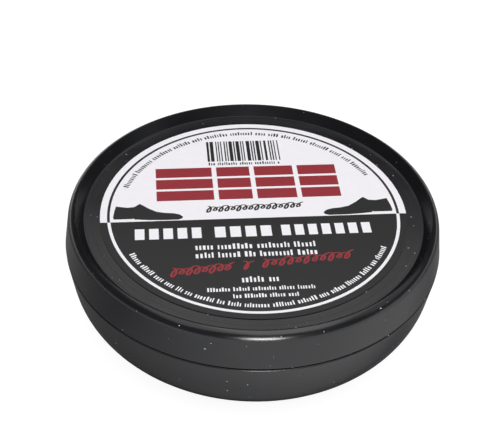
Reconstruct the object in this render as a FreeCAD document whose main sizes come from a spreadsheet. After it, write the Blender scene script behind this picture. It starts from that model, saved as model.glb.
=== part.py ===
import FreeCAD, Part
import math
import os
import Sketcher

# Shoe polish jar with a screw lid. Millimetres, +Z up, origin at the centre of the foot.
# The lid turns counter-clockwise, seen from above, to open.

SIZES = {
    # outside of the jar
    "foot_inner_radius": 31.0,
    "foot_radius": 36.4,
    "foot_round": 2.0,
    "base_recess_radius": 30.4,
    "base_recess_height": 0.7,
    "base_recess_round": 0.4,
    "belly_radius": 43.65,
    "belly_height": 4.27,
    "belly_round": 16.4,
    "jar_shoulder_radius": 46.0,
    "jar_shoulder_height": 19.1,
    "jar_shoulder_round": 0.3,
    # neck and inside of the jar
    "neck_radius": 43.1,
    "neck_root_round": 0.3,
    "rim_height": 24.05,
    "rim_round": 0.4,
    "bore_radius": 41.8,
    "bowl_height": 5.3,
    "bowl_round": 10.0,
    "floor_radius": 36.3,
    "floor_height": 1.8,
    "floor_round": 2.5,
    # fill
    "fill_height": 19.6,
    # foam sealing disc between the rim and the lid
    "seal_radius": 42.9,
    "seal_top_height": 24.85,
    # lid
    "lid_edge_radius": 46.0,
    "lid_edge_height": 19.55,
    "lid_edge_round": 0.2,
    "shoulder_radius": 44.78,
    "shoulder_height": 28.21,
    "shoulder_round": 3.0,
    "crest_radius": 43.1,
    "crest_height": 28.95,
    "crest_round": 0.12,
    "panel_edge_radius": 41.3,
    "panel_height": 26.25,
    "panel_edge_round": 0.2,
    "panel_seat_radius": 42.4,
    "rim_hollow_inner_radius": 43.2,
    "rim_hollow_outer_radius": 43.7,
    "rim_hollow_height": 27.0,
    "rim_hollow_round": 0.2,
    "skirt_top_inner_radius": 44.35,
    "skirt_top_inner_height": 24.6,
    "skirt_top_inner_round": 1.0,
    "skirt_inner_radius": 44.6,
    # label on the lid's recessed panel
    "label_radius": 37.3,
    "label_top_height": 26.4,
    # thread: three starts, so the lead is three pitches
    "thread_lead": 9.0,
    "jar_thread_root_radius": 42.7,
    "jar_thread_crest_radius": 44.0,
    "jar_thread_root_low_height": 20.6,
    "jar_thread_crest_low_height": 20.9,
    "jar_thread_crest_high_height": 21.4,
    "jar_thread_root_high_height": 21.7,
    "jar_thread_rise": 2.0,
    "lid_thread_root_radius": 44.9,
    "lid_thread_crest_radius": 43.4,
    "lid_thread_root_low_height": 19.75,
    "lid_thread_crest_low_height": 20.0,
    "lid_thread_crest_high_height": 20.45,
    "lid_thread_root_high_height": 20.7,
    "lid_thread_rise": 1.25,
}
THREAD_STARTS = 3
LID_THREAD_START_ANGLE = 20.0

AXIS = "axis"
BASE = "base"
VERTICAL_AXIS = -2
HORIZONTAL_AXIS = -1
SKETCH_ORIGIN = (-1, 1)
START, END = 1, 2

os.makedirs("parts", exist_ok=True)
document = FreeCAD.newDocument("shoe_polish_jar")


def add_sizes():
    """Put every size in its own named spreadsheet cell."""
    sheet = document.addObject("Spreadsheet::Sheet", "Sizes")
    for row, (alias, size) in enumerate(SIZES.items(), start=1):
        sheet.set(f"A{row}", alias)
        sheet.set(f"B{row}", str(size))
        sheet.setAlias(f"B{row}", alias)
    document.recompute()
    return sheet


def size_of(alias):
    """Read a size from the spreadsheet; the axis and the base plane are at zero."""
    if alias in (AXIS, BASE):
        return 0.0
    return float(getattr(sizes, alias))


def origin_feature(body, role):
    """Find one of the body's own origin planes or axes."""
    return next(item for item in body.Origin.OriginFeatures if item.Role == role)


def bind(sketch, kind, places, alias):
    """Add a dimension to the sketch and drive it from the spreadsheet."""
    index = sketch.addConstraint(Sketcher.Constraint(kind, *places, size_of(alias)))
    name = f"{alias}_{index}"
    sketch.renameConstraint(index, name)
    sketch.setExpression(f"Constraints.{name}", f"Sizes.{alias}")


def fix_point(sketch, place, radius, height):
    """Hold a sketch point at a radius and a height."""
    if radius == AXIS:
        sketch.addConstraint(Sketcher.Constraint("PointOnObject", *place, VERTICAL_AXIS))
    else:
        bind(sketch, "DistanceX", (*SKETCH_ORIGIN, *place), radius)
    if height == BASE:
        sketch.addConstraint(Sketcher.Constraint("PointOnObject", *place, HORIZONTAL_AXIS))
    else:
        bind(sketch, "DistanceY", (*SKETCH_ORIGIN, *place), height)


def corner_arc(before, corner, after, radius):
    """Work out the arc that rounds a corner, with its two ends in path order."""
    to_before = (before - corner).normalize()
    to_after = (after - corner).normalize()
    half_angle = to_before.getAngle(to_after) / 2
    reach = radius / math.tan(half_angle)
    ends = [corner + to_before * reach, corner + to_after * reach]
    centre = corner + (to_before + to_after).normalize() * (radius / math.sin(half_angle))
    turns_left = to_after.cross(to_before).z > 0
    first, last = ends if turns_left else reversed(ends)
    circle = Part.Circle(centre, FreeCAD.Vector(0, 0, 1), radius)
    start = math.atan2(first.y - centre.y, first.x - centre.x)
    stop = math.atan2(last.y - centre.y, last.x - centre.x)
    if stop < start:
        stop += 2 * math.pi
    return Part.ArcOfCircle(circle, start, stop), ends, turns_left


def outline(body, name, corners, turn=0.0):
    """Sketch a closed outline on the body's XZ plane.

    Each corner is its radius, its height and the radius that rounds it, or None.
    The plane is first turned about the Z axis by an angle in degrees.
    """
    sketch = body.newObject("Sketcher::SketchObject", name)
    sketch.AttachmentSupport = [(origin_feature(body, "XZ_Plane"), "")]
    sketch.MapMode = "FlatFace"
    about_z = FreeCAD.Rotation(FreeCAD.Vector(0, 1, 0), turn)
    sketch.AttachmentOffset = FreeCAD.Placement(FreeCAD.Vector(), about_z)
    points = [FreeCAD.Vector(size_of(radius), size_of(height), 0) for radius, height, _ in corners]
    count = len(corners)
    arcs = {}
    leaves = list(points)
    arrives = list(points)
    for index, (_, _, rounding) in enumerate(corners):
        if rounding is None:
            continue
        before = points[index - 1]
        after = points[(index + 1) % count]
        arc, ends, turns_left = corner_arc(before, points[index], after, size_of(rounding))
        arcs[index] = (sketch.addGeometry(arc, False), turns_left)
        arrives[index], leaves[index] = ends
    lines = []
    for index in range(count):
        line = Part.LineSegment(leaves[index], arrives[(index + 1) % count])
        lines.append(sketch.addGeometry(line, False))
    for index, (radius, height, rounding) in enumerate(corners):
        line_in = lines[index - 1]
        line_out = lines[index]
        if rounding is None:
            sketch.addConstraint(Sketcher.Constraint("Coincident", line_in, END, line_out, START))
            fix_point(sketch, (line_out, START), radius, height)
            continue
        arc, turns_left = arcs[index]
        arc_in, arc_out = (START, END) if turns_left else (END, START)
        corner = sketch.addGeometry(Part.Point(points[index]), True)
        fix_point(sketch, (corner, START), radius, height)
        sketch.addConstraint(Sketcher.Constraint("PointOnObject", corner, START, line_in))
        sketch.addConstraint(Sketcher.Constraint("PointOnObject", corner, START, line_out))
        sketch.addConstraint(Sketcher.Constraint("Tangent", line_in, END, arc, arc_in))
        sketch.addConstraint(Sketcher.Constraint("Tangent", arc, arc_out, line_out, START))
        bind(sketch, "Radius", (arc,), rounding)
    document.recompute()
    return sketch


def turned_body(label, corners):
    """Make a body by turning an outline about the Z axis."""
    body = document.addObject("PartDesign::Body", label)
    body.Label = label
    sketch = outline(body, f"{label}_outline", corners)
    revolution = body.newObject("PartDesign::Revolution", f"{label}_revolution")
    revolution.Profile = sketch
    revolution.ReferenceAxis = (sketch, ["V_Axis"])
    revolution.Angle = 360
    sketch.Visibility = False
    document.recompute()
    return body


def add_thread(body, label, kind, start_angle=0.0):
    """Add thread segments, one for each start, as helical ridges on the body's wall."""
    ridge = [
        (f"{kind}_thread_root_radius", f"{kind}_thread_root_low_height", None),
        (f"{kind}_thread_crest_radius", f"{kind}_thread_crest_low_height", None),
        (f"{kind}_thread_crest_radius", f"{kind}_thread_crest_high_height", None),
        (f"{kind}_thread_root_radius", f"{kind}_thread_root_high_height", None),
    ]
    sketch = outline(body, f"{label}_section", ridge, start_angle)
    segment = body.newObject("PartDesign::AdditiveHelix", f"{label}_segment")
    segment.Profile = sketch
    segment.ReferenceAxis = (sketch, ["V_Axis"])
    segment.Mode = "pitch-height-angle"
    segment.setExpression("Pitch", "Sizes.thread_lead")
    segment.setExpression("Height", f"Sizes.{kind}_thread_rise")
    segment.Angle = 0
    segment.Growth = 0
    segment.LeftHanded = False
    segment.Reversed = False
    sketch.Visibility = False
    document.recompute()
    pattern = body.newObject("PartDesign::PolarPattern", f"{label}_pattern")
    pattern.Originals = [segment]
    pattern.Axis = (origin_feature(body, "Z_Axis"), [""])
    pattern.Angle = 360
    pattern.Occurrences = THREAD_STARTS
    body.Tip = pattern
    document.recompute()


def make_jar():
    """Jar: a thin bowl on a foot ring, with a shoulder and a threaded neck."""
    body = turned_body("jar", [
        (AXIS, "base_recess_height", None),
        ("base_recess_radius", "base_recess_height", "base_recess_round"),
        ("foot_inner_radius", BASE, "base_recess_round"),
        ("foot_radius", BASE, "foot_round"),
        ("belly_radius", "belly_height", "belly_round"),
        ("jar_shoulder_radius", "jar_shoulder_height", "jar_shoulder_round"),
        ("neck_radius", "jar_shoulder_height", "neck_root_round"),
        ("neck_radius", "rim_height", "rim_round"),
        ("bore_radius", "rim_height", "rim_round"),
        ("bore_radius", "bowl_height", "bowl_round"),
        ("floor_radius", "floor_height", "floor_round"),
        (AXIS, "floor_height", None),
    ])
    add_thread(body, "jar_thread", "jar")
    return body


def make_polish():
    """Polish: it fills the bowl up to a level below the rim."""
    return turned_body("polish", [
        (AXIS, "floor_height", None),
        ("floor_radius", "floor_height", "floor_round"),
        ("bore_radius", "bowl_height", "bowl_round"),
        ("bore_radius", "fill_height", None),
        (AXIS, "fill_height", None),
    ])


def make_seal():
    """Sealing disc: it lies on the rim, under the lid's panel."""
    return turned_body("lid_seal", [
        (AXIS, "rim_height", None),
        ("seal_radius", "rim_height", None),
        ("seal_radius", "seal_top_height", None),
        (AXIS, "seal_top_height", None),
    ])


def make_lid():
    """Lid: a smooth skirt, a raised rim round a recessed panel, and a thread inside."""
    body = turned_body("lid", [
        (AXIS, "seal_top_height", None),
        ("panel_seat_radius", "seal_top_height", "rim_hollow_round"),
        ("rim_hollow_inner_radius", "rim_hollow_height", "rim_hollow_round"),
        ("rim_hollow_outer_radius", "rim_hollow_height", "rim_hollow_round"),
        ("skirt_top_inner_radius", "skirt_top_inner_height", "skirt_top_inner_round"),
        ("skirt_inner_radius", "lid_edge_height", "lid_edge_round"),
        ("lid_edge_radius", "lid_edge_height", "lid_edge_round"),
        ("shoulder_radius", "shoulder_height", "shoulder_round"),
        ("crest_radius", "crest_height", "crest_round"),
        ("panel_edge_radius", "panel_height", "panel_edge_round"),
        (AXIS, "panel_height", None),
    ])
    add_thread(body, "lid_thread", "lid", LID_THREAD_START_ANGLE)
    return body


def make_label():
    """Label: a round film disc on the lid's panel."""
    return turned_body("label", [
        (AXIS, "panel_height", None),
        ("label_radius", "panel_height", None),
        ("label_radius", "label_top_height", None),
        (AXIS, "label_top_height", None),
    ])


sizes = add_sizes()
bodies = [make_jar(), make_polish(), make_seal(), make_lid(), make_label()]
document.recompute()

for item in document.Objects:
    if "Invalid" in item.State or "Error" in item.State:
        raise RuntimeError(f"{item.Label} did not build: {item.State}")

for body in bodies:
    if body.Shape.isNull() or not body.Shape.isValid() or len(body.Shape.Solids) != 1:
        raise RuntimeError(f"{body.Label} is not one valid solid")
    body.Shape.exportStep(f"parts/{body.Label}.step")
    box = body.Shape.optimalBoundingBox()
    print(f"{body.Label}: {body.Shape.Volume / 1000:.2f} cm3, "
          f"{box.XLength:.2f} x {box.YLength:.2f} x {box.ZLength:.2f} from z {box.ZMin:.2f}")
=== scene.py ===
import math
import random

import bmesh
import bpy
from mathutils import Matrix, Vector
from mathutils.geometry import delaunay_2d_cdt


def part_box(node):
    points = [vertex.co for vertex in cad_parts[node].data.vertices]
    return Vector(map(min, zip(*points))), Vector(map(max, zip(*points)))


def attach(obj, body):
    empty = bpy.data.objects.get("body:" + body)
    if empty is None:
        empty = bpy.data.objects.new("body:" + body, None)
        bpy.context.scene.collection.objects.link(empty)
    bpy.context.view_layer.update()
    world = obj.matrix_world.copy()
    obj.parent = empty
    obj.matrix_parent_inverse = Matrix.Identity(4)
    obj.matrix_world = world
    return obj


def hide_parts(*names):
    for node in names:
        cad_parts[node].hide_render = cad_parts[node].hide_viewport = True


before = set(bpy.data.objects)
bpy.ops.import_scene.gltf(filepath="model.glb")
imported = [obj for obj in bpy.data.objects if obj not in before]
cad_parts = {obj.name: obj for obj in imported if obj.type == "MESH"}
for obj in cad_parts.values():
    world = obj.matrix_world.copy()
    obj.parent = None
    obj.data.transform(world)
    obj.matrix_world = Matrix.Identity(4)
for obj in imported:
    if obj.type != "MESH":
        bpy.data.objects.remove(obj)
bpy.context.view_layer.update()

# Shoe polish jar. Outlines and label art are in millimetres, and become metres in the meshes.
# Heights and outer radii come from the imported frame, and the rest of the outlines have the CAD
# model's sizes. This script's own are the roots and faded ends of the threads, the edges and dipped
# top of the fill, the rounds of the seal, and the turning rings.

MM = 0.001
TURN = 2 * math.pi
SEGMENTS = 360


def frame_size(node):
    """A node's outer radius, lowest height and highest height, in millimetres."""
    low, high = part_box(node)
    return high.x / MM, low.z / MM, high.z / MM


LID_RADIUS, LID_EDGE, LID_CREST = frame_size("lid")
JAR_RADIUS, _, RIM = frame_size("jar")
LABEL_RADIUS, PANEL, LABEL_TOP = frame_size("label")
SEAL_RADIUS, SEAL_LOW, SEAL_TOP = frame_size("lid_seal")
BORE_RADIUS, BOWL_FLOOR, FILL_TOP = frame_size("polish")
PARTING_GAP = 0.45
JAR_SHOULDER = LID_EDGE - PARTING_GAP
PARTING = (LID_EDGE + JAR_SHOULDER) / 2


def polar(radius, angle):
    """A place at a radius and an angle in radians."""
    return radius * math.cos(angle), radius * math.sin(angle)


# ---------------------------------------------------------------- materials

# a Mix node lists sockets for every kind of data; these are the colour ones
MIX_COLOURS = (6, 7)
MIX_RESULT = 2

PLASTIC_BLACK = (0.006, 0.0062, 0.0072)
PLASTIC_ROUGHNESS = 0.21
PLASTIC_REFLECTION = 0.5
DULL_REFLECTION = 0.22
DULL_EDGE = 0.1
DUST = (0.6, 0.6, 0.6)
DUST_COVER = 0.6
FILM_ROUGHNESS = 0.34


class Nodes:
    """A material's node tree, with short calls to add and join its nodes."""

    def __init__(self, name):
        self.material = bpy.data.materials.new(name)
        self.material.use_nodes = True
        self.tree = self.material.node_tree
        self.shader = self.tree.nodes["Principled BSDF"]
        self.place = self.add("ShaderNodeTexCoord").outputs["Object"]

    def add(self, kind, **settings):
        node = self.tree.nodes.new(kind)
        for key, setting in settings.items():
            setattr(node, key, setting)
        return node

    def join(self, output, socket):
        self.tree.links.new(output, socket)

    def set(self, **settings):
        """Set the shader's own sockets; a name's underscores stand for spaces."""
        for key, setting in settings.items():
            self.shader.inputs[key.replace("_", " ")].default_value = setting

    def feed(self, output, name):
        """Join an output to one of the shader's own sockets."""
        self.join(output, self.shader.inputs[name])

    def radius(self):
        """Distance from the object's own upright axis, in metres."""
        level = self.add("ShaderNodeVectorMath", operation="MULTIPLY")
        self.join(self.place, level.inputs[0])
        level.inputs[1].default_value = (1.0, 1.0, 0.0)
        length = self.add("ShaderNodeVectorMath", operation="LENGTH")
        self.join(level.outputs["Vector"], length.inputs[0])
        return length.outputs["Value"]

    def noise(self, per_mm, detail, roughness=0.5):
        """Noise with a number of features in each millimetre."""
        node = self.add("ShaderNodeTexNoise")
        node.inputs["Scale"].default_value = per_mm / MM
        node.inputs["Detail"].default_value = detail
        node.inputs["Roughness"].default_value = roughness
        self.join(self.place, node.inputs["Vector"])
        return node.outputs["Fac"]

    def ramp(self, output, low, high, to_low, to_high):
        """Map a stretch of an output to new limits."""
        node = self.add("ShaderNodeMapRange")
        limits = {"From Min": low, "From Max": high, "To Min": to_low, "To Max": to_high}
        for key, number in limits.items():
            node.inputs[key].default_value = number
        self.join(output, node.inputs["Value"])
        return node.outputs["Result"]

    def times(self, first, second):
        """Multiply two outputs."""
        node = self.add("ShaderNodeMath", operation="MULTIPLY")
        self.join(first, node.inputs[0])
        self.join(second, node.inputs[1])
        return node.outputs[0]

    def blend(self, factor, first, second):
        """Blend two colours, each a colour or an output."""
        node = self.add("ShaderNodeMix", data_type="RGBA")
        self.join(factor, node.inputs["Factor"])
        for colour, index in zip((first, second), MIX_COLOURS):
            if isinstance(colour, tuple):
                node.inputs[index].default_value = (*colour, 1.0)
            else:
                self.join(colour, node.inputs[index])
        return node.outputs[MIX_RESULT]

    def bump(self, height, depth_mm, strength):
        node = self.add("ShaderNodeBump")
        node.inputs["Strength"].default_value = strength
        node.inputs["Distance"].default_value = depth_mm * MM
        self.join(height, node.inputs["Height"])
        return node.outputs["Normal"]


def moulded_plastic(name, dull_ring=None):
    """Satin black plastic: fine moulded grain, soft smears and a little white dust.

    A dull ring, given by its two radii in millimetres, reflects about half as much.
    """
    nodes = Nodes(name)
    smear = nodes.noise(per_mm=0.06, detail=3.0)
    grain = nodes.noise(per_mm=5.0, detail=2.0)
    specks = nodes.noise(per_mm=1.7, detail=0.0)
    dust = nodes.ramp(specks, 0.845, 0.88, 0.0, DUST_COVER)
    paler = tuple(channel * 1.5 for channel in PLASTIC_BLACK)
    nodes.feed(nodes.blend(dust, nodes.blend(smear, PLASTIC_BLACK, paler), DUST), "Base Color")
    smooth, rough = PLASTIC_ROUGHNESS - 0.04, PLASTIC_ROUGHNESS + 0.05
    nodes.feed(nodes.ramp(smear, 0.3, 0.7, smooth, rough), "Roughness")
    nodes.feed(nodes.bump(grain, depth_mm=0.004, strength=0.5), "Normal")
    nodes.set(IOR=1.5)
    if dull_ring is not None:
        inner, outer = dull_ring
        radius = nodes.radius()
        past_inner = nodes.ramp(radius, (inner - DULL_EDGE) * MM, inner * MM, 0.0, 1.0)
        short_of_outer = nodes.ramp(radius, (outer - DULL_EDGE) * MM, outer * MM, 1.0, 0.0)
        in_ring = nodes.times(past_inner, short_of_outer)
        level = nodes.ramp(in_ring, 0.0, 1.0, PLASTIC_REFLECTION, DULL_REFLECTION)
        nodes.feed(level, "Specular IOR Level")
    return nodes.material


def printed_film(name, colour):
    """Printed film: an even ink with faint mottling, over a slightly uneven panel."""
    nodes = Nodes(name)
    mottle = nodes.noise(per_mm=0.5, detail=3.0)
    paler = tuple(min(1.0, channel * 1.05 + 0.002) for channel in colour)
    nodes.feed(nodes.blend(mottle, colour, paler), "Base Color")
    smooth, rough = FILM_ROUGHNESS - 0.03, FILM_ROUGHNESS + 0.03
    nodes.feed(nodes.ramp(mottle, 0.3, 0.7, smooth, rough), "Roughness")
    unevenness = nodes.noise(per_mm=0.35, detail=2.0)
    nodes.feed(nodes.bump(unevenness, depth_mm=0.02, strength=0.4), "Normal")
    nodes.set(IOR=1.46)
    return nodes.material


def wax(name):
    """Black wax polish: soft, a little uneven and faintly streaked."""
    nodes = Nodes(name)
    streak = nodes.noise(per_mm=0.12, detail=4.0, roughness=0.6)
    nodes.feed(nodes.blend(streak, (0.010, 0.010, 0.012), (0.030, 0.028, 0.030)), "Base Color")
    nodes.feed(nodes.ramp(streak, 0.3, 0.7, 0.28, 0.45), "Roughness")
    lumps = nodes.noise(per_mm=0.4, detail=4.0, roughness=0.6)
    nodes.feed(nodes.bump(lumps, depth_mm=0.12, strength=0.5), "Normal")
    nodes.set(IOR=1.44, Coat_Weight=0.15)
    return nodes.material


def foam(name):
    """Fine white foam."""
    nodes = Nodes(name)
    voronoi = nodes.add("ShaderNodeTexVoronoi")
    voronoi.inputs["Scale"].default_value = 2.2 / MM
    nodes.join(nodes.place, voronoi.inputs["Vector"])
    cells = voronoi.outputs["Distance"]
    tint = nodes.noise(per_mm=0.2, detail=3.0)
    nodes.feed(nodes.blend(tint, (0.80, 0.79, 0.75), (0.88, 0.87, 0.84)), "Base Color")
    nodes.feed(nodes.ramp(cells, 0.0, 1.0, 0.5, 0.85), "Roughness")
    nodes.feed(nodes.bump(cells, depth_mm=0.08, strength=0.6), "Normal")
    return nodes.material


# ------------------------------------------------------------------- shapes

ROUNDING_STEP = 5
# an extra point this far along each straight keeps smooth shading off the flat faces
SHADING_MARGIN = 0.12
ON_AXIS = 1e-6
POINTS_IN_A_RING = 8
THREAD_LEAD = 9.0
THREAD_STARTS = 3
RIDGE_STEPS = 48
RIDGE_FADE = 0.12


def rounded(corners):
    """Points of an outline whose corners are (radius, height, rounding), in millimetres."""
    points = []
    ends = [Vector(corner[:2]) for corner in corners]
    for index, (_, _, rounding) in enumerate(corners):
        corner = ends[index]
        if not rounding:
            points.append(corner)
            continue
        to_before = (ends[index - 1] - corner).normalized()
        to_after = (ends[(index + 1) % len(ends)] - corner).normalized()
        half = to_before.angle(to_after) / 2
        start = corner + to_before * (rounding / math.tan(half))
        centre = corner + (to_before + to_after).normalized() * (rounding / math.sin(half))
        sweep = math.pi - 2 * half
        side = 1 if to_after.cross(to_before) > 0 else -1
        steps = max(3, math.ceil(math.degrees(sweep) / ROUNDING_STEP))
        margin = min(SHADING_MARGIN, rounding)
        points.append(start + to_before * margin)
        for step in range(steps + 1):
            points.append(centre + Matrix.Rotation(side * sweep * step / steps, 2) @ (start - centre))
        stop = corner + to_after * (rounding / math.tan(half))
        points.append(stop + to_after * margin)
    return points


def turning_rings(inner, outer, height, pitch, depth):
    """Points across fine turned rings of uneven depth, from the outer radius to the inner."""
    steps = round((outer - inner) / pitch * POINTS_IN_A_RING)
    points = []
    for step in range(steps + 1):
        radius = outer + (inner - outer) * step / steps
        wave = 0.5 - 0.5 * math.cos(TURN * (outer - radius) / pitch)
        swell = 0.6 + 0.4 * math.cos(TURN * (outer - radius) / pitch * 0.37)
        points.append(Vector((radius, height - depth * wave * swell)))
    return points


def lathe(outline):
    """Turn an outline in millimetres about the Z axis; gives vertices in metres, and faces."""
    vertices, faces, rings = [], [], []
    for point in outline:
        if point.x < ON_AXIS:
            rings.append([len(vertices)] * SEGMENTS)
            vertices.append((0.0, 0.0, point.y * MM))
            continue
        rings.append(list(range(len(vertices), len(vertices) + SEGMENTS)))
        for segment in range(SEGMENTS):
            vertices.append((*polar(point.x * MM, TURN * segment / SEGMENTS), point.y * MM))
    for lower, upper in zip(rings, rings[1:]):
        for segment in range(SEGMENTS):
            after = (segment + 1) % SEGMENTS
            face = [lower[segment], lower[after], upper[after], upper[segment]]
            # at the axis two corners are one, and the face is a triangle
            faces.append(list(dict.fromkeys(face)))
    return vertices, faces


def thread_ridge(start_angle, sweep, section):
    """One helical thread segment that fades in and out at its ends.

    The section is four (radius, height) corners at the start: root, crest, crest, root.
    """
    root = section[0][0]
    corners = len(section)
    vertices, faces = [], []
    for step in range(RIDGE_STEPS + 1):
        part = step / RIDGE_STEPS
        angle = math.radians(start_angle + sweep * part)
        growth = min(1.0, part / RIDGE_FADE, (1 - part) / RIDGE_FADE)
        growth = growth * growth * (3 - 2 * growth)
        rise = THREAD_LEAD * sweep * part / 360
        for radius, height in section:
            reach = root + (radius - root) * growth
            vertices.append((*polar(reach * MM, angle), (height + rise) * MM))
    for step in range(RIDGE_STEPS):
        for side in range(corners - 1):
            first = corners * step + side
            faces.append([first, first + 1, first + corners + 1, first + corners])
    return vertices, faces


def thread(first_angle, sweep, section):
    """All the ridges of one thread, evenly spaced round the axis."""
    return [thread_ridge(first_angle + start * 360 / THREAD_STARTS, sweep, section)
            for start in range(THREAD_STARTS)]


def new_object(name, mesh):
    made = bpy.data.objects.new(name, mesh)
    bpy.context.scene.collection.objects.link(made)
    return made


def piece(name, parts, material, body, node):
    """Make one piece from lists of vertices and faces, in place of a CAD node."""
    vertices, faces = [], []
    for part_vertices, part_faces in parts:
        start = len(vertices)
        vertices += part_vertices
        faces += [[start + index for index in face] for face in part_faces]
    mesh = bpy.data.meshes.new(name)
    mesh.from_pydata(vertices, [], faces)
    mesh.validate()
    mesh.materials.append(material)
    made = new_object(name, mesh)
    make_normals_face_out(mesh)
    mesh.shade_smooth()
    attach(made, body)
    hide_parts(node)


def make_normals_face_out(mesh):
    work = bmesh.new()
    work.from_mesh(mesh)
    bmesh.ops.recalc_face_normals(work, faces=work.faces)
    work.to_mesh(mesh)
    work.free()


# ------------------------------------------------------------- jar and fill

UNDERSIDE = 0.7
FOOT_HOLLOW_RADIUS = 30.4
FOOT_INNER_RADIUS = 31.0
FOOT_RADIUS = 36.4
BELLY_RADIUS = 43.65
BELLY_HEIGHT = 4.27
BELLY_ROUND = 16.4
NECK_RADIUS = 43.1
BOWL_HEIGHT = 5.3
BOWL_ROUND = 10.0
BOWL_FLOOR_RADIUS = 36.3
BOWL_FLOOR_ROUND = 2.5
FILL_GAP = 0.05
FILL_FLOOR_RADIUS = 36.2
FILL_DIP_RADIUS = 39.5
FILL_DIP_ROUND = 3.0
FILL_DIP = 0.5
FILL_CENTRE_DIP = 0.7
JAR_THREAD = [(42.9, 20.5), (44.0, 20.9), (44.0, 21.4), (42.9, 21.8)]
JAR_THREAD_SWEEP = 80


def make_jar():
    outline = rounded([
        (0, UNDERSIDE, None),
        (FOOT_HOLLOW_RADIUS, UNDERSIDE, 0.4),
        (FOOT_INNER_RADIUS, 0, 0.4),
        (FOOT_RADIUS, 0, 2.0),
        (BELLY_RADIUS, BELLY_HEIGHT, BELLY_ROUND),
        (JAR_RADIUS, JAR_SHOULDER, 0.3),
        (NECK_RADIUS, JAR_SHOULDER, 0.3),
        (NECK_RADIUS, RIM, 0.4),
        (BORE_RADIUS, RIM, 0.4),
        (BORE_RADIUS, BOWL_HEIGHT, BOWL_ROUND),
        (BOWL_FLOOR_RADIUS, BOWL_FLOOR, BOWL_FLOOR_ROUND),
        (0, BOWL_FLOOR, None),
    ])
    parts = [lathe(outline), *thread(0, JAR_THREAD_SWEEP, JAR_THREAD)]
    piece("jar_body", parts, moulded_plastic("jar_plastic"), "jar", "jar")


def make_polish():
    """The fill, with a top that dips a little inside its edge."""
    outline = rounded([
        (0, BOWL_FLOOR, None),
        (FILL_FLOOR_RADIUS, BOWL_FLOOR, BOWL_FLOOR_ROUND),
        (BORE_RADIUS - FILL_GAP, BOWL_HEIGHT, BOWL_ROUND),
        (BORE_RADIUS - FILL_GAP, FILL_TOP, 0.3),
        (FILL_DIP_RADIUS, FILL_TOP - FILL_DIP, FILL_DIP_ROUND),
        (0, FILL_TOP - FILL_CENTRE_DIP, None),
    ])
    piece("polish_fill", [lathe(outline)], wax("wax_polish"), "jar", "polish")


def make_seal():
    outline = rounded([
        (0, SEAL_LOW, None),
        (SEAL_RADIUS, SEAL_LOW, 0.15),
        (SEAL_RADIUS, SEAL_TOP, 0.15),
        (0, SEAL_TOP, None),
    ])
    piece("seal_disc", [lathe(outline)], foam("seal_foam"), "seal", "lid_seal")


# ---------------------------------------------------------------------- lid

SEAL_SEAT_RADIUS = 42.4
RIM_HOLLOW_INNER_RADIUS = 43.2
RIM_HOLLOW_OUTER_RADIUS = 43.7
RIM_HOLLOW_HEIGHT = 27.0
SKIRT_TOP_RADIUS = 44.35
SKIRT_TOP_HEIGHT = 24.6
SKIRT_RADIUS = 44.6
LID_SHOULDER_RADIUS = 44.78
LID_SHOULDER_DROP = 0.74
LID_SHOULDER_ROUND = 3.0
CREST_RADIUS = 43.1
CREST_ROUND = 0.12
PANEL_EDGE_RADIUS = 41.3
RINGS_OUTER_RADIUS = 40.9
RINGS_INNER_RADIUS = 37.0
RING_PITCH = 0.78
RING_DEPTH = 0.010
LID_THREAD = [(44.75, 19.75), (43.4, 20.0), (43.4, 20.45), (44.75, 20.7)]
LID_THREAD_SWEEP = 50
LID_THREAD_ANGLE = 20


def make_lid():
    corners = rounded([
        (0, SEAL_TOP, None),
        (SEAL_SEAT_RADIUS, SEAL_TOP, 0.2),
        (RIM_HOLLOW_INNER_RADIUS, RIM_HOLLOW_HEIGHT, 0.2),
        (RIM_HOLLOW_OUTER_RADIUS, RIM_HOLLOW_HEIGHT, 0.2),
        (SKIRT_TOP_RADIUS, SKIRT_TOP_HEIGHT, 1.0),
        (SKIRT_RADIUS, LID_EDGE, 0.2),
        (LID_RADIUS, LID_EDGE, 0.2),
        (LID_SHOULDER_RADIUS, LID_CREST - LID_SHOULDER_DROP, LID_SHOULDER_ROUND),
        (CREST_RADIUS, LID_CREST, CREST_ROUND),
        (PANEL_EDGE_RADIUS, PANEL, 0.2),
        (RINGS_OUTER_RADIUS, PANEL, None),
    ])
    rings = turning_rings(RINGS_INNER_RADIUS, RINGS_OUTER_RADIUS, PANEL, RING_PITCH, RING_DEPTH)
    # the rings start at the last corner, so it is left out once
    outline = corners[:-1] + rings + [Vector((0, PANEL))]
    parts = [lathe(outline), *thread(LID_THREAD_ANGLE, LID_THREAD_SWEEP, LID_THREAD)]
    plastic = moulded_plastic("lid_plastic", dull_ring=(PANEL_EDGE_RADIUS, CREST_RADIUS))
    piece("lid_cap", parts, plastic, "lid", "lid")


# -------------------------------------------------------------------- label

# across is x and up is y, from the label's centre; the whole print is turned a little at the end
LABEL_TURN = math.radians(6.7)
HORIZON = -2.4
RING_INNER = 34.95
RING_OUTER = 35.6
WHITE, BLACK, RED = range(3)
INKS = (
    ("ink_white", (0.94, 0.92, 0.97)),
    ("ink_black", (0.006, 0.006, 0.0065)),
    ("ink_red", (0.30, 0.016, 0.026)),
)
ART_SEED = 7
ARC_STEP = 1.5
PEN_STEPS_IN_A_LOOP = 14
# left, lowest, right and highest places of the striped code
CODE_BOX = (-10.0, 20.9, 8.8, 29.6)
# the red row's lowest and highest places, and the left and right ends of its words
RED_ROW_LOW = 5.2
RED_ROW_HIGH = 18.4
RED_ROW_WORDS = ((-23.5, -9.3), (-8.1, 0.3), (1.5, 11.4), (12.6, 22.4))
# left and right ends of the words in the red script line
RED_SCRIPT_WORDS = ((-21.0, -6.8), (-4.6, -2.0), (0.2, 21.5))
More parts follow.
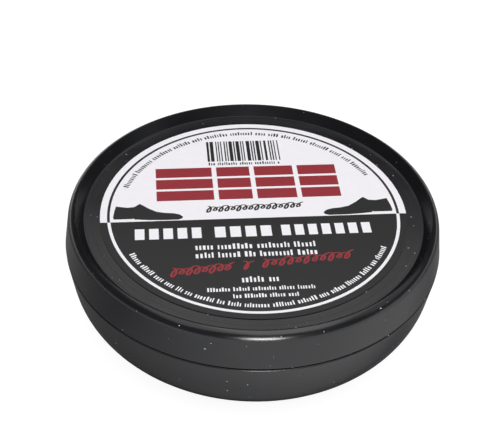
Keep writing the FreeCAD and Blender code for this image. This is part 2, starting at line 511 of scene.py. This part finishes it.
# the headline's lowest and highest places, and the ends and number of blocks of each word
HEADLINE_LOW = -9.2
HEADLINE_HIGH = -5.3
HEADLINE_WORDS = ((-29.0, -13.2, 5), (-10.0, 3.6, 4), (6.0, 27.6, 7))
# length, height, place across and place up of the straight lines of fine print
TICKS_UNDER_CODE = (18.5, 1.2, -0.6, 19.3)
LINES_UNDER_HEADLINE = ((29.4, 1.9, -0.2, -13.5), (29.6, 1.9, -0.2, -16.4))
LINES_AT_THE_FOOT = ((9.2, 1.9, -0.3, -25.2), (25.0, 1.3, -0.5, -28.0), (15.0, 1.3, 0.2, -30.3))
SHOE_SOLE = -1.35
# how the triangulation is asked for: only faces inside the shapes, and its welding distance
INSIDE_THE_SHAPES = 1
WELD = 1e-4
SHOE_OUTLINE = (
    (0.00, 0.00), (-0.010, 0.05), (0.005, 0.17), (0.030, 0.300), (0.10, 0.285), (0.20, 0.262),
    (0.30, 0.275), (0.375, 0.345), (0.42, 0.31), (0.50, 0.235), (0.62, 0.150), (0.74, 0.118),
    (0.86, 0.105), (0.95, 0.075), (1.00, 0.02), (0.985, -0.02), (0.93, -0.045), (0.70, -0.045),
    (0.50, -0.035), (0.30, -0.012), (0.285, 0.015), (0.27, 0.0),
)


def arc(radius, start, stop):
    """Points on a circle from one angle to another, in degrees."""
    count = max(2, math.ceil(abs(stop - start) / ARC_STEP))
    angles = [math.radians(start + (stop - start) * index / count) for index in range(count + 1)]
    return [polar(radius, angle) for angle in angles]


def band(inner, outer, start, stop):
    return arc(outer, start, stop) + arc(inner, stop, start)


def box(left, low, right, high):
    return [(left, low), (right, low), (right, high), (left, high)]


def bars(left, low, right, high, rows, gap):
    """Plain level bars, one above the other."""
    tall = (high - low - gap * (rows - 1)) / rows
    starts = [low + row * (tall + gap) for row in range(rows)]
    return [box(left, start, right, start + tall) for start in starts]


def blocks(left, low, right, high, count, gap):
    """A row of plain blocks."""
    wide = (right - left - gap * (count - 1)) / count
    starts = [left + index * (wide + gap) for index in range(count)]
    return [box(start, low, start + wide, high) for start in starts]


def small_marks(length, height, rng):
    """Thin ticks in groups, as lines of fine print are blocked in; centred on zero.

    Widths, tops and gaps are shares of the line's height.
    """
    place = -length / 2
    shapes = []
    left_in_group = rng.randint(3, 9)
    while place < length / 2 - height * 0.4:
        width = height * rng.uniform(0.20, 0.34)
        top = height * rng.choice((0.72, 0.75, 0.78, 1.0))
        shapes.append(box(place, 0, place + width, top))
        place += width + height * rng.uniform(0.18, 0.26)
        left_in_group -= 1
        if left_in_group == 0:
            place += height * 0.4
            left_in_group = rng.randint(3, 9)
    return shapes


def striped_code(left, low, right, high, rng):
    """Upright stripes of random widths."""
    stripes = []
    place = left
    while place < right:
        width = rng.choice((0.3, 0.35, 0.6, 0.9))
        stripes.append(box(place, low, place + width, high))
        place += width + rng.choice((0.3, 0.35, 0.6))
    return stripes


def shifted(shapes, across, up):
    return [[(x + across, y + up) for x, y in shape] for shape in shapes]


def bent(shapes, radius, angle, outward):
    """Lay shapes along a circle, about an angle in degrees."""
    laid = []
    for shape in shapes:
        points = []
        for x, y in shape:
            reach = radius + y * outward
            points.append(polar(reach, math.radians(angle) - outward * x / radius))
        laid.append(points)
    return laid


def scribble(left, right, height, slope, width):
    """A looping pen stroke, as short strips; its loops are shares of its height."""
    steps = round((right - left) / (height * 0.62)) * PEN_STEPS_IN_A_LOOP
    points = []
    for index in range(steps + 1):
        turn = TURN * index / PEN_STEPS_IN_A_LOOP
        swell = 0.75 + 0.25 * math.sin(turn * 0.37 + 1.0)
        x = left + (right - left) * (index / steps)
        x = x + height * 0.30 * math.sin(turn) + height * 0.2 * math.cos(turn) * swell
        points.append(Vector((x, slope * x + height / 2 * math.cos(turn) * swell)))
    shapes = []
    for first, second in zip(points, points[1:]):
        along = (second - first).normalized()
        side = Vector((-along.y, along.x)) * width / 2 * (0.6 + 0.8 * abs(along.y))
        grow = along * width * 0.2
        shapes.append([tuple(first - side - grow), tuple(second - side + grow),
                       tuple(second + side + grow), tuple(first + side - grow)])
    return shapes


def shoe(heel, toe, sole):
    """A plain shoe seen from the side; heel and toe are places across the label."""
    length = toe - heel
    return [(heel + length * x, sole + abs(length) * y) for x, y in SHOE_OUTLINE]


def anticlockwise(shape):
    """The same shape with its points in anticlockwise order."""
    area = sum(x0 * y1 - x1 * y0 for (x0, y0), (x1, y1) in zip(shape, shape[1:] + shape[:1]))
    return shape if area > 0 else shape[::-1]


def horizon_angles(radius):
    """Where a circle crosses the horizon, on the right and on the left, in degrees."""
    right = math.degrees(math.asin(HORIZON / radius))
    return right, 180 - right


def label_art():
    """Every printed shape with its ink, from the bottom up; the first one is the whole disc."""
    rng = random.Random(ART_SEED)
    art = []

    def add(ink, shapes):
        art.extend((ink, shape) for shape in shapes)

    def add_line(ink, length, height, across, up):
        add(ink, shifted(small_marks(length, height, rng), across, up))

    # the grounds, and the ring in the other ink on each
    add(BLACK, [arc(LABEL_RADIUS, 0, 360 - ARC_STEP)])
    upper_half = arc(LABEL_RADIUS + 1, *horizon_angles(LABEL_RADIUS))
    add(WHITE, [[(x, max(y, HORIZON)) for x, y in upper_half]])
    right, left = horizon_angles(RING_INNER)
    add(BLACK, [band(RING_INNER, RING_OUTER, right, left)])
    add(WHITE, [band(RING_INNER - 0.1, RING_OUTER, left, right + 360)])

    # upper half: striped code, its row of ticks, the outer line, the red row, a script line, shoes
    add(BLACK, striped_code(*CODE_BOX, rng))
    add_line(BLACK, *TICKS_UNDER_CODE)
    add(BLACK, bent(small_marks(78, 1.4, rng), 32.3, 91, 1))
    for left, right in RED_ROW_WORDS:
        add(RED, bars(left, RED_ROW_LOW, right, RED_ROW_HIGH, rows=3, gap=0.8))
    add(BLACK, shifted(scribble(-11.5, 12.0, height=2.4, slope=0.03, width=0.36), 0, 1.8))
    add(BLACK, [shoe(-34.0, -17.3, SHOE_SOLE), shoe(34.0, 17.0, SHOE_SOLE)])

    # lower half: headline, two lines, red script line, three short lines, the outer line
    for left, right, count in HEADLINE_WORDS:
        add(WHITE, blocks(left, HEADLINE_LOW, right, HEADLINE_HIGH, count, gap=1.1))
    for line in LINES_UNDER_HEADLINE:
        add_line(WHITE, *line)
    for left, right in RED_SCRIPT_WORDS:
        add(RED, shifted(scribble(left, right, height=3.0, slope=0.10, width=0.38), 0, -19.0))
    for line in LINES_AT_THE_FOOT:
        add_line(WHITE, *line)
    add(WHITE, bent(small_marks(76, 1.4, rng), 33.6, 270, -1))
    return art


def make_label():
    """A thin disc whose top is divided into its printed shapes."""
    art = label_art()
    disc = art[0][1]
    points, outlines = [], []
    for _, shape in art:
        outlines.append(list(range(len(points), len(points) + len(shape))))
        points += [Vector(point) for point in anticlockwise(shape)]
    flat, _, faces, _, _, sources = delaunay_2d_cdt(points, [], outlines, INSIDE_THE_SHAPES, WELD)
    turn = Matrix.Rotation(LABEL_TURN, 2)
    vertices = [((turn @ point).x * MM, (turn @ point).y * MM, LABEL_TOP * MM) for point in flat]
    # a face belongs to every shape over it, and shows the ink of the last one printed
    kept = [(face, max(source)) for face, source in zip(faces, sources) if 0 in source]

    edge = [(turn @ Vector(point)) * MM for point in disc]
    count = len(edge)
    upper, lower = len(vertices), len(vertices) + count
    vertices += [(x, y, LABEL_TOP * MM) for x, y in edge] + [(x, y, PANEL * MM) for x, y in edge]
    side = []
    for index in range(count):
        after = (index + 1) % count
        side.append((lower + index, lower + after, upper + after, upper + index))
    back = [tuple(range(lower + count - 1, lower - 1, -1))]

    mesh = bpy.data.meshes.new("label_film")
    mesh.from_pydata(vertices, [], [face for face, _ in kept] + side + back)
    for name, colour in INKS:
        mesh.materials.append(printed_film(name, colour))
    inks = [art[source][0] for _, source in kept]
    inks += [WHITE if y > HORIZON else BLACK for _, y in disc] + [WHITE]
    for polygon, ink in zip(mesh.polygons, inks):
        polygon.material_index = ink
    label = new_object("label_film", mesh)
    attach(label, "lid")
    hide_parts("label")


# -------------------------------------------------------- floor, light, camera

# lengths from here on are in metres, but for the camera's lens and sensor, in millimetres
FLOOR_HALF_WIDTH = 2.0
FLOOR_CELLS = 4
UNDER_FLOOR_HEIGHT = -0.0005
BACKDROP_RADIUS = 1.9
BACKDROP_HEIGHT = 2.0
BACKDROP_STEPS = 96
WHITE_LIGHT = (1, 1, 1, 1)
# painted light: how strongly the hidden floor glows, standing in for lamp light on it in reflections
PAINTED_FLOOR_GLOW = 0.9
# painted shadows, dark patches in the hidden floor's painted glow that reflections see: the centre of
# each, and the distances from it where the floor starts to glow and where it glows in full
PAINTED_SHADOW_POOLS = (
    ((0.0, 0.03, 0.0), 0.070, 0.088),
    ((0.11, 0.08, 0.0), 0.07, 0.14),
    ((-0.11, 0.0, 0.0), 0.06, 0.14),
)
LAMP_AIM = Vector((0, 0, 0.02))
LAMP_DISTANCE = 0.8
CAMERA_ELEVATION = math.radians(40.1)
CAMERA_DISTANCE = 0.2859
CAMERA_LENS = 84.25
CAMERA_ROLL = math.radians(2.45)
# small turns of the camera, in radians, that put the jar a little off the centre of the picture
CAMERA_LEFT = 0.0062
CAMERA_UP = 0.0144


def flat_sheet(name, height, material):
    """A square sheet of a few large faces, for the floor."""
    places = [FLOOR_HALF_WIDTH * (2 * index / FLOOR_CELLS - 1) for index in range(FLOOR_CELLS + 1)]
    vertices = [(x, y, height) for y in places for x in places]
    across = FLOOR_CELLS + 1
    faces = []
    for row in range(FLOOR_CELLS):
        for column in range(FLOOR_CELLS):
            first = row * across + column
            faces.append((first, first + 1, first + across + 1, first + across))
    mesh = bpy.data.meshes.new(name)
    mesh.from_pydata(vertices, [], faces)
    mesh.materials.append(material)
    sheet = new_object(name, mesh)
    return sheet


def round_wall(name, material):
    """A round backdrop that stands on the floor, seen from inside."""
    count = BACKDROP_STEPS
    corners = [polar(BACKDROP_RADIUS, TURN * step / count) for step in range(count)]
    vertices = [(x, y, height) for height in (0.0, BACKDROP_HEIGHT) for x, y in corners]
    faces = []
    for step in range(count):
        after = (step + 1) % count
        faces.append((step, count + step, count + after, after))
    mesh = bpy.data.meshes.new(name)
    mesh.from_pydata(vertices, [], faces)
    mesh.materials.append(material)
    wall = new_object(name, mesh)
    return wall


def away_from(nodes, centre, near, far):
    """Zero within one distance of a place, one beyond another; distances in metres."""
    gap = nodes.add("ShaderNodeVectorMath", operation="DISTANCE")
    nodes.join(nodes.place, gap.inputs[0])
    gap.inputs[1].default_value = centre
    return nodes.ramp(gap.outputs["Value"], near, far, 0.0, 1.0)


def make_floor():
    """A pale floor that shows white, over a darker one with painted glow and painted shadows that only
    reflections and diffuse light see.
    """
    shown = Nodes("floor_white")
    shown.set(Base_Color=(0.2, 0.2, 0.2, 1), Roughness=0.9, Emission_Color=WHITE_LIGHT,
              Emission_Strength=0.93, Specular_IOR_Level=0.0)
    top = flat_sheet("floor", 0.0, shown.material)
    wall = round_wall("backdrop", shown.material)
    for pale in (top, wall):
        pale.visible_glossy = False
        pale.visible_diffuse = False
        pale.visible_shadow = False

    dull = Nodes("floor_painted_glow_and_shadow")
    dull.set(Base_Color=(0.25, 0.25, 0.255, 1), Roughness=0.9, Emission_Color=WHITE_LIGHT,
             Specular_IOR_Level=0.0)
    # painted shadows: the glow fades out round the jar, behind it on the right and on its left
    first, second, third = (away_from(dull, *shadow_pool) for shadow_pool in PAINTED_SHADOW_POOLS)
    outside_painted_shadows = dull.times(dull.times(first, second), third)
    # painted light: the hidden floor glows in full outside the painted shadows
    dull.feed(dull.ramp(outside_painted_shadows, 0.0, 1.0, 0.0, PAINTED_FLOOR_GLOW), "Emission Strength")
    under = flat_sheet("floor_under", UNDER_FLOOR_HEIGHT, dull.material)
    under.visible_camera = False


def area_light(name, azimuth, elevation, wide, tall, glow):
    """A soft panel that faces the object; azimuth 0 is in front and 90 on the right.

    Its width and height are the angles that it spans, and its glow is its own brightness.
    """
    azimuth, elevation = math.radians(azimuth), math.radians(elevation)
    back = Vector((math.sin(azimuth) * math.cos(elevation), -math.cos(azimuth) * math.cos(elevation),
                   math.sin(elevation)))
    light = bpy.data.lights.new(name, "AREA")
    light.shape = "RECTANGLE"
    light.size = 2 * LAMP_DISTANCE * math.tan(math.radians(wide) / 2)
    light.size_y = 2 * LAMP_DISTANCE * math.tan(math.radians(tall) / 2)
    light.energy = glow * math.pi * light.size * light.size_y
    lamp = new_object(name, light)
    lamp.location = LAMP_AIM + back * LAMP_DISTANCE
    lamp.rotation_mode = "QUATERNION"
    lamp.rotation_quaternion = (-back).to_track_quat("-Z", "Y")
    return lamp


def make_lights():
    world = bpy.data.worlds.new("studio")
    bpy.context.scene.world = world
    world.use_nodes = True
    background = world.node_tree.nodes["Background"]
    background.inputs["Color"].default_value = WHITE_LIGHT
    background.inputs["Strength"].default_value = 0.05
    area_light("overhead", azimuth=180, elevation=87, wide=84, tall=92, glow=1.29)
    area_light("overhead_core", azimuth=30, elevation=68, wide=40, tall=44, glow=1.1)
    area_light("right", azimuth=90, elevation=34, wide=40, tall=24, glow=0.6)
    front = area_light("front", azimuth=8, elevation=14, wide=15, tall=12, glow=38.0)
    # the small bright light is for the mouldings only, so that label and fill don't glare from behind
    mouldings = bpy.data.collections.new("mouldings")
    for name in ("jar_body", "lid_cap"):
        mouldings.objects.link(bpy.data.objects[name])
    front.light_linking.receiver_collection = mouldings


def make_camera():
    data = bpy.data.cameras.new("camera")
    data.sensor_width = 36.0
    data.lens = CAMERA_LENS
    data.clip_start = 0.01
    camera = new_object("camera", data)
    place = Vector((0, -CAMERA_DISTANCE * math.cos(CAMERA_ELEVATION),
                    PARTING * MM + CAMERA_DISTANCE * math.sin(CAMERA_ELEVATION)))
    camera.matrix_world = (Matrix.Translation(place)
                           @ Matrix.Rotation(math.pi / 2 - CAMERA_ELEVATION, 4, "X")
                           @ Matrix.Rotation(CAMERA_LEFT, 4, "Y")
                           @ Matrix.Rotation(CAMERA_UP, 4, "X")
                           @ Matrix.Rotation(CAMERA_ROLL, 4, "Z"))
    bpy.context.scene.camera = camera


make_jar()
make_polish()
make_seal()
make_lid()
make_label()
make_floor()
make_lights()
make_camera()
bpy.context.scene.view_settings.view_transform = "Standard"
